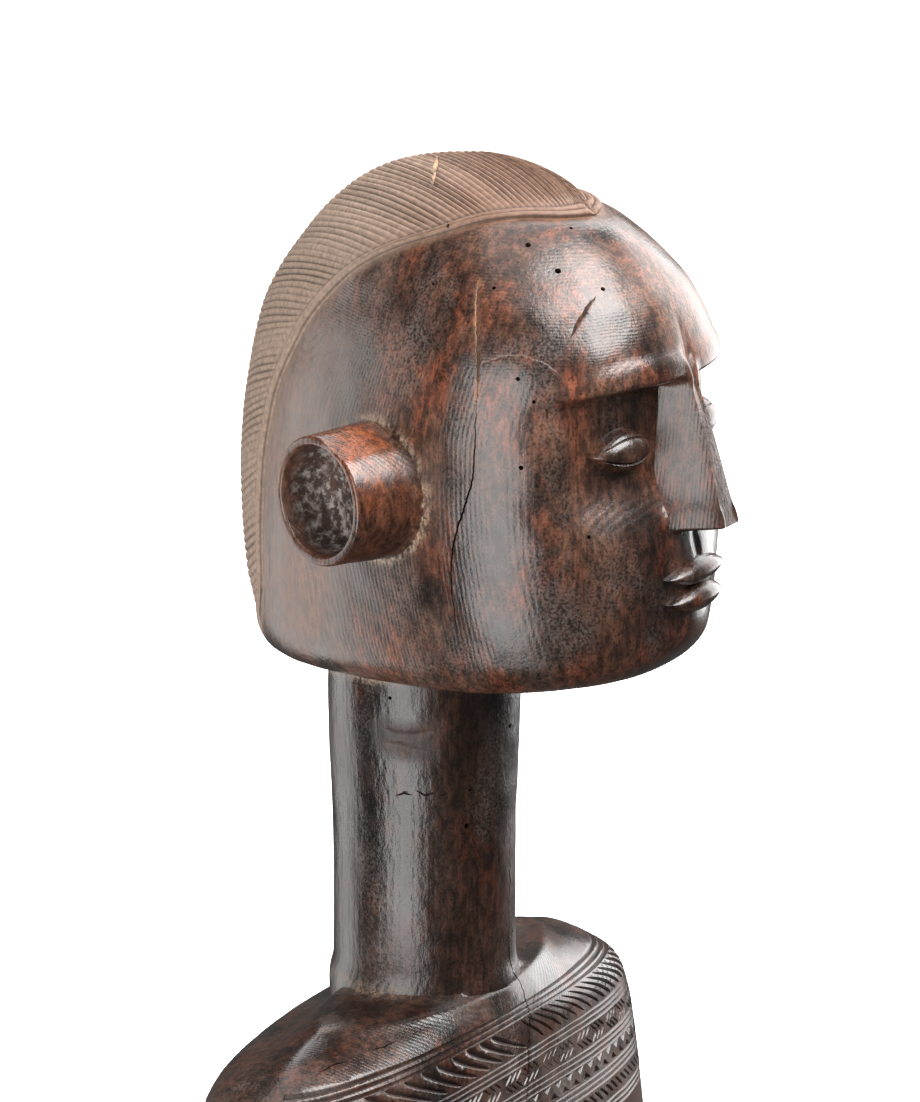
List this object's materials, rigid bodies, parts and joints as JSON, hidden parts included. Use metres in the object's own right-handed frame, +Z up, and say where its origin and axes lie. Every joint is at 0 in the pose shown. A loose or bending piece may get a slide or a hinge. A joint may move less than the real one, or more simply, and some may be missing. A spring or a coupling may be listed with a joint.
{
  "type": "carved wooden ancestor figure bust",
  "caption": "Carved wooden bust with a braided crest, cup-shaped ears, a tall round neck and incised chest bands, cut flat below to stand on a shelf.",
  "frame": {"origin": "middle of the neck's axis at the flat underside of the bust", "axes": "+Z up along the neck, -Y the way the face looks, +X the figure's left"},
  "size_m": [0.312, 0.2262, 0.4503],
  "materials": {
    "wood": "dark, oiled and handled hardwood with a glossy patina, rubbed reddish in places, drier and paler on the crest"
  },
  "bodies": {
    "root": {"carved_bust": "wood"}
  },
  "joints": []
}
